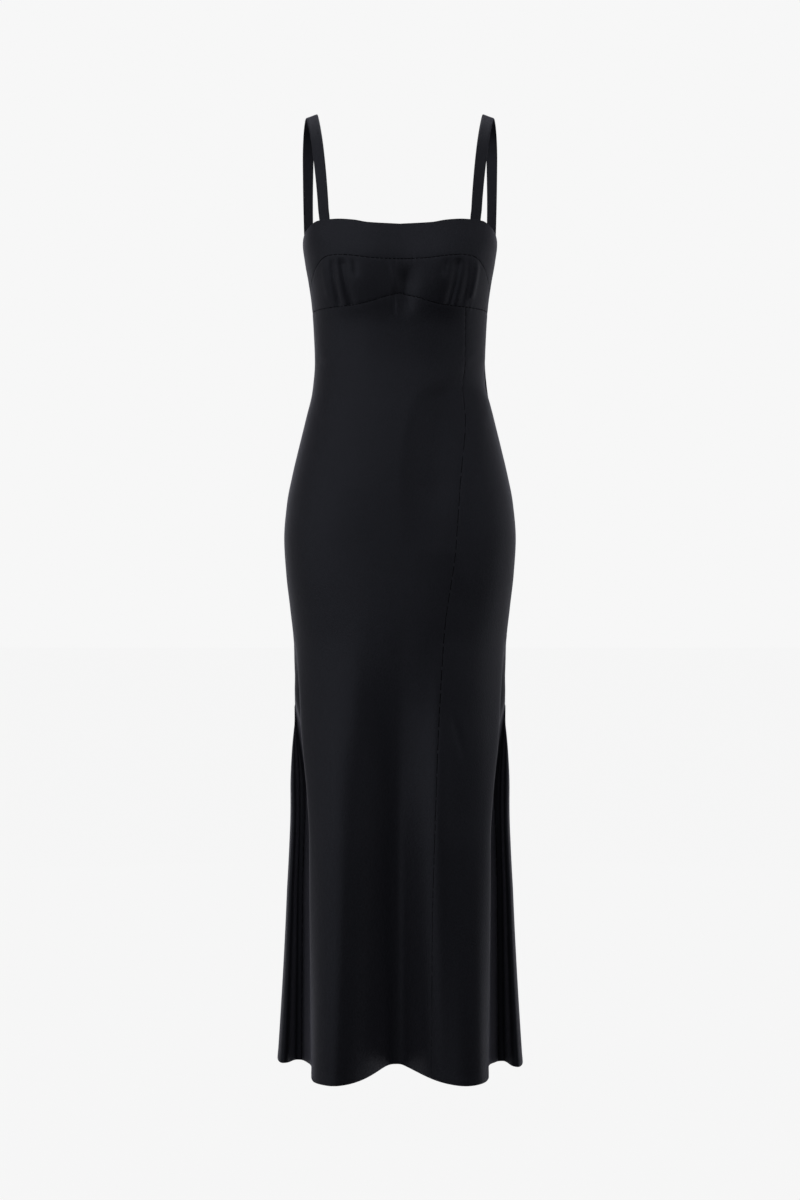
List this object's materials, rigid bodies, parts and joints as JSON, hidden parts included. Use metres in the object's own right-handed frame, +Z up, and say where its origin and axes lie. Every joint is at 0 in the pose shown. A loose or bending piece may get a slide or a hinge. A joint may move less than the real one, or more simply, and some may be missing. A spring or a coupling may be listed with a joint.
{
  "type": "slip dress",
  "caption": "Long dark satin slip dress, held open as it is worn: wide shoulder straps, a plain band over a pleated bust panel, a slanting front seam and a skirt that flutes out at the hem",
  "frame": {"origin": "Midway between the tops of the two straps, where the wearer's shoulders carry the dress.", "axes": "+Z is up, the front faces -Y, and +X is the wearer's left."},
  "size_m": [0.3526, 0.2804, 1.355],
  "materials": {
    "satin": "soft satin, near black"
  },
  "bodies": {
    "root": {"band_front": "satin", "band_back": "satin", "bust_panel": "satin", "front_panel": "satin", "front_side_panel": "satin", "back_panel": "satin", "strap_left": "satin", "strap_right": "satin"}
  },
  "joints": []
}
